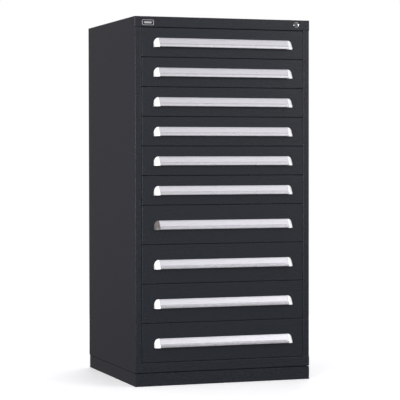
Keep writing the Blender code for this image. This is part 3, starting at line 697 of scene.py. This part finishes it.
def carriage_rollers(plate_at, sign):
    """Four chamfered rollers on their pins: two on the plate's outer side, two on its inner side."""
    radius, chamfer, width = ROLLER_RADIUS, ROLLER_CHAMFER, ROLLER_WIDTH
    tread = [(ROLLER_BORE, 0), (ROLLER_SHOULDER, 0), (radius, chamfer),
             (radius, width - chamfer), (ROLLER_SHOULDER, width), (ROLLER_BORE, width)]
    places = [(depth, sign) for depth in OUTER_ROLLERS] + [(depth, -sign) for depth in INNER_ROLLERS]
    bm = bmesh.new()
    for depth, toward in places:
        start = plate_at + toward * ROLLER_START
        matrix = Matrix.Translation((start, depth, 0)) @ Matrix.Diagonal((toward, 1, 1, 1)) @ ROUND_X
        for profile, segments in ((tread, 28), (PIN_PROFILE, 16)):
            part = mesh_from(turned(profile, segments, matrix), "part")
            bm.from_mesh(part)
            bpy.data.meshes.remove(part)
    bmesh.ops.recalc_face_normals(bm, faces=bm.faces)
    return smooth(mesh_from(bm, "carriage_rollers"))


def build_carriages():
    """Each carriage as a pierced plate with four rollers on pins."""
    for side, sign in SIDES.items():
        node = f"carriage_01_{side}"
        low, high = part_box(node)
        plate = carriage_plate(sign * CARRIAGE_X, high.y - low.y)
        rollers = carriage_rollers(sign * CARRIAGE_X, sign)
        for number in range(1, 11):
            node = f"carriage_{number:02d}_{side}"
            low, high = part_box(node)
            place = (0, low.y, (low.z + high.z) / 2)
            body = f"carriage_{number:02d}"
            add_piece(f"{node}_plate", plate, ZINC, body, (node,), place)
            add_piece(f"{node}_rollers", rollers, ROLLER, body, (node,), place)


def web_slots(column, row):
    """Windows in every other cell of the web's middle column."""
    return row % 2 == 1 and column == UPRIGHT_SLOTTED


def uprights(low, high, web, far):
    """Both uprights of one rack: channels open towards the drawers, slotted along their webs."""
    rows = slot_lines(high.z - low.z, UPRIGHT_SLOT_PITCH, UPRIGHT_SLOT_HEIGHT)
    bm = bmesh.new()
    for depth in UPRIGHT_DEPTHS:
        lines = [FRONT + depth + line for line in UPRIGHT_LINES]
        path = [(web, lines[0])] + [(far, y) for y in lines] + [(web, lines[-1])]
        grid = [[bm.verts.new((x, y, low.z + z)) for x, y in path] for z in rows]
        add_cells(bm, grid, web_slots)
    bmesh.ops.recalc_face_normals(bm, faces=bm.faces)
    return thickened(mesh_from(bm, "uprights"), SHEET)


def fixed_rails(side, sign, near, web):
    """The ten fixed rails of one rack, level with that side's carriages."""
    bm = bmesh.new()
    x_low, x_high = sorted((near, web - sign * GAP))
    open_ways = [(-sign, 0, 0), (0, 1, 0), (0, -1, 0)]
    for number in range(1, 11):
        rail_low, rail_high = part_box(f"carriage_{number:02d}_{side}")
        middle = (rail_low.z + rail_high.z) / 2
        low = (x_low, FRONT + RAIL_START, middle - CHANNEL_HEIGHT / 2)
        high = (x_high, FRONT + FIXED_RAIL_BACK, middle + CHANNEL_HEIGHT / 2)
        rail = thickened(open_box(low, high, open_ways), SHEET, fold=FIXED_RAIL_FOLD)
        bm.from_mesh(rail)
        bpy.data.meshes.remove(rail)
    return smooth(mesh_from(bm, "rails"))


def build_racks():
    """Slotted uprights and fixed rails, one set each side."""
    for side, sign in SIDES.items():
        node = f"runner_rack_{side}"
        low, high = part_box(node)
        near, far = (low.x, high.x) if sign > 0 else (high.x, low.x)
        web = near + sign * FIXED_RAIL_FLANGE
        add_piece(f"{node}_uprights", uprights(low, high, web, far), ZINC, "housing", (node,))
        add_piece(f"{node}_rails", fixed_rails(side, sign, near, web), ZINC, "housing", (node,))


# Housing, plate and lock

def build_housing():
    for name in ("side_panel_left", "side_panel_right", "bottom_pan", "top_rail", "bottom_rail", "base"):
        finish_node(name, HOUSING_PAINT)
    for name in ("top_panel", "back_panel"):
        finish_node(name, HOUSING_PAINT, bevel=PANEL_EDGE)
    for name in ("lock_bar", "lock_bar_guide_upper", "lock_bar_guide_lower", "lock_cam"):
        finish_node(name, ZINC)


def build_nameplate():
    """Blank plate: a rounded satin rim around a dark field with one plain raised bar."""
    low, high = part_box("nameplate")
    width, height, thickness = high.x - low.x, high.z - low.z, high.y - low.y
    centre = Matrix.Translation(((low.x + high.x) / 2, high.y, (low.z + high.z) / 2)) @ FACING_FRONT
    outer = rounded_rectangle(width, height, PLATE_CORNER)
    inner = rounded_rectangle(width - 2 * PLATE_RIM_WIDTH, height - 2 * PLATE_RIM_WIDTH, PLATE_INNER_CORNER)
    face = -thickness * PLATE_FIELD_FACE
    field = prism(outer, face, 0, centre)
    rim = bmesh.new()
    foot = face + PLATE_FIELD_OVERLAP
    loops = [[rim.verts.new((x, y, z)) for x, y in loop] for loop, z in
             ((outer, foot), (outer, -thickness), (inner, -thickness), (inner, foot))]
    for one, two in zip(loops, loops[1:] + loops[:1]):
        join_rings(rim, one, two)
    rim.transform(centre)
    bmesh.ops.recalc_face_normals(rim, faces=rim.faces)
    across, tall, corner = BAR_SIZE
    bar_outline = rounded_rectangle(width * across, height * tall, height * corner)
    bar = prism(bar_outline, *(-thickness * depth for depth in BAR_DEPTHS), centre)
    for name, bm, edge, material in (("nameplate_field", field, PLATE_EDGE, PLATE_FIELD),
                                     ("nameplate_rim", rim, PLATE_EDGE, PLATE_RIM),
                                     ("nameplate_bar", bar, BAR_EDGE, PLATE_RIM)):
        mesh = bevelled(mesh_from(bm, name), edge)
        add_piece(name, mesh, material, "housing", ("nameplate",))


def turning_axis(low, high):
    """Frame of a lock part: its origin on the axis at the part's front, its Z into the housing."""
    return Matrix.Translation(((low.x + high.x) / 2, low.y, (low.z + high.z) / 2)) @ FACING_FRONT


def build_lock():
    """Dished bezel on its barrel, and the plug with its keyway."""
    low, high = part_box("lock_housing")
    bezel = list(BEZEL_DISH) + arc((BARREL_RADIUS, BEZEL_ROUND), BEZEL_ROUND, -90, 0, 3)
    bezel += [(BEZEL_RADIUS, BEZEL_THICKNESS), (BARREL_RADIUS, BEZEL_THICKNESS),
              (BARREL_RADIUS, high.y - low.y), (BARREL_BORE, high.y - low.y)]
    mesh = smooth(mesh_from(turned(bezel, 48, turning_axis(low, high)), "bezel"))
    add_piece("lock_bezel", mesh, CHROME, "housing", ("lock_housing",))
    low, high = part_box("lock_plug")
    axis = turning_axis(low, high)
    outline = arc((0, 0), PLUG_RADIUS, 0, 360 - 360 / PLUG_SIDES, PLUG_SIDES - 1)
    cylinder = worker(mesh_from(prism(outline, 0.0, high.y - low.y, axis), "plug"))
    slot = worker(mesh_from(prism(rounded_rectangle(*KEYWAY_SIZE, 3), *KEYWAY_DEPTHS, axis), "slot"))
    cutting = cylinder.modifiers.new("keyway", "BOOLEAN")
    cutting.operation = "DIFFERENCE"
    cutting.object = slot
    add_bevel(cylinder, "edges", PLUG_EDGE, 2, 50)
    plug = baked(cylinder)
    bpy.data.objects.remove(slot, do_unlink=True)
    add_piece("lock_plug_face", plug, PLUG, "lock_barrel", ("lock_plug",))


# Stage

def build_floor():
    """Pale disc just below the base; it takes the part's shadow and sends no light back to it."""
    floor_material = moulded("studio_floor", (0.90, 0.90, 0.90), 0.65, grain=40)
    shader = floor_material.node_tree.nodes["Principled BSDF"]
    shader.inputs["Emission Color"].default_value = (1, 1, 1, 1)
    shader.inputs["Emission Strength"].default_value = FLOOR_GLOW
    bm = bmesh.new()
    centre = Matrix.Translation(FLOOR_CENTRE)
    bmesh.ops.create_circle(bm, cap_ends=True, segments=96, radius=FLOOR_RADIUS, matrix=centre)
    mesh = mesh_from(bm, "studio_floor")
    mesh.materials.append(floor_material)
    floor = bpy.data.objects.new("studio_floor", mesh)
    bpy.context.scene.collection.objects.link(floor)
    floor.location.z = -FLOOR_DROP
    floor.visible_diffuse = False
    floor.visible_glossy = False


def from_sine(nodes, links, source):
    """A direction's component, from -1 to 1, as a ramp's factor."""
    spread = nodes.new("ShaderNodeMapRange")
    spread.inputs["From Min"].default_value = -1.0
    links.new(source, spread.inputs["Value"])
    return spread.outputs["Result"]


def sky_ramp(nodes, links, factor, stops, tint=(1, 1, 1)):
    """Levels over one direction; a stop is (sine of the angle, level)."""
    ramp = nodes.new("ShaderNodeValToRGB")
    links.new(factor, ramp.inputs["Fac"])
    elements = ramp.color_ramp.elements
    while len(elements) < len(stops):
        elements.new(0.5)
    for element, (sine, level) in zip(elements, stops):
        element.position = (sine + 1) / 2
        element.color = (*(level * share for share in tint), 1)
    return ramp.outputs["Color"]


def blended(nodes, links, first, second, factor=None, kind="MIX"):
    """Two colours mixed by a factor, which is 1 unless it is given."""
    mix = nodes.new("ShaderNodeMix")
    mix.data_type = "RGBA"
    mix.blend_type = kind
    mix.inputs["Factor"].default_value = 1.0
    if factor:
        links.new(factor, mix.inputs["Factor"])
    links.new(first, mix.inputs["A"])
    links.new(second, mix.inputs["B"])
    return mix.outputs["Result"]


def build_world():
    """White to the camera; for lighting, bright in front above the horizon, dim below it and behind."""
    world = bpy.data.worlds.new("studio")
    bpy.context.scene.world = world
    world.use_nodes = True
    nodes, links = world.node_tree.nodes, world.node_tree.links
    background = nodes["Background"]
    coordinates = nodes.new("ShaderNodeTexCoord")
    way = nodes.new("ShaderNodeSeparateXYZ")
    links.new(coordinates.outputs["Generated"], way.inputs["Vector"])
    height = from_sine(nodes, links, way.outputs["Z"])
    ahead = sky_ramp(nodes, links, height, SKY_AHEAD, AHEAD_TINT)
    behind = sky_ramp(nodes, links, height, SKY_BEHIND, BEHIND_TINT)
    sides = sky_ramp(nodes, links, from_sine(nodes, links, way.outputs["X"]), SKY_SIDES)
    ahead = blended(nodes, links, ahead, sides, kind="MULTIPLY")
    turn = ranged(nodes, links, way.outputs["Y"], 0.0, 1.0, -SKY_TURN, SKY_TURN)
    links.new(blended(nodes, links, ahead, behind, turn), background.inputs["Color"])
    white = nodes.new("ShaderNodeBackground")
    white.inputs["Color"].default_value = (1, 1, 1, 1)
    mix = nodes.new("ShaderNodeMixShader")
    path = nodes.new("ShaderNodeLightPath")
    links.new(path.outputs["Is Camera Ray"], mix.inputs["Fac"])
    links.new(background.outputs["Background"], mix.inputs[1])
    links.new(white.outputs["Background"], mix.inputs[2])
    links.new(mix.outputs["Shader"], nodes["World Output"].inputs["Surface"])


def add_light(name, place, target, size, watts):
    """A rectangular softbox that faces its target; its size is in metres."""
    light = bpy.data.lights.new(name, "AREA")
    light.shape = "RECTANGLE"
    light.size, light.size_y = size
    light.energy = watts
    obj = bpy.data.objects.new(name, light)
    bpy.context.scene.collection.objects.link(obj)
    obj.location = place
    obj.rotation_euler = (Vector(target) - Vector(place)).to_track_quat("-Z", "Y").to_euler()


def build_lights():
    middle = (0, 0, 0.8)
    add_light("key_softbox", (-2.6, -4.2, 1.3), middle, (2.2, 2.2), 125)
    add_light("right_softbox", (3.0, -2.9, 1.9), middle, (2.0, 2.0), 30)
    add_light("left_softbox", (-2.7, -2.1, 0.9), middle, (1.6, 1.6), 50)
    add_light("left_rear_softbox", (-2.25, 3.6, 1.3), (-0.4, 0.0, 0.9), (1.5, 2.6), 0.5)
    add_light("rear_softbox", (1.2, 3.0, 3.2), middle, (2.5, 1.5), 60)


def build_camera():
    """The camera, turned to the right, tilted down and rolled by the angles given in degrees."""
    data = bpy.data.cameras.new("camera")
    data.lens = CAMERA_LENS
    data.sensor_width = 36
    data.clip_end = 100
    camera = bpy.data.objects.new("camera", data)
    bpy.context.scene.collection.objects.link(camera)
    turn = Matrix.Rotation(math.radians(-CAMERA_YAW), 4, "Z")
    tilt = Matrix.Rotation(math.radians(90 + CAMERA_PITCH), 4, "X")
    roll = Matrix.Rotation(math.radians(CAMERA_ROLL), 4, "Z")
    camera.matrix_world = Matrix.Translation(Vector((0, FRONT, 0)) + CAMERA_OFFSET) @ turn @ tilt @ roll
    bpy.context.scene.camera = camera
    bpy.context.scene.view_settings.view_transform = "Standard"


build_drawers()
build_carriages()
build_racks()
build_housing()
build_nameplate()
build_lock()
build_floor()
build_world()
build_lights()
build_camera()
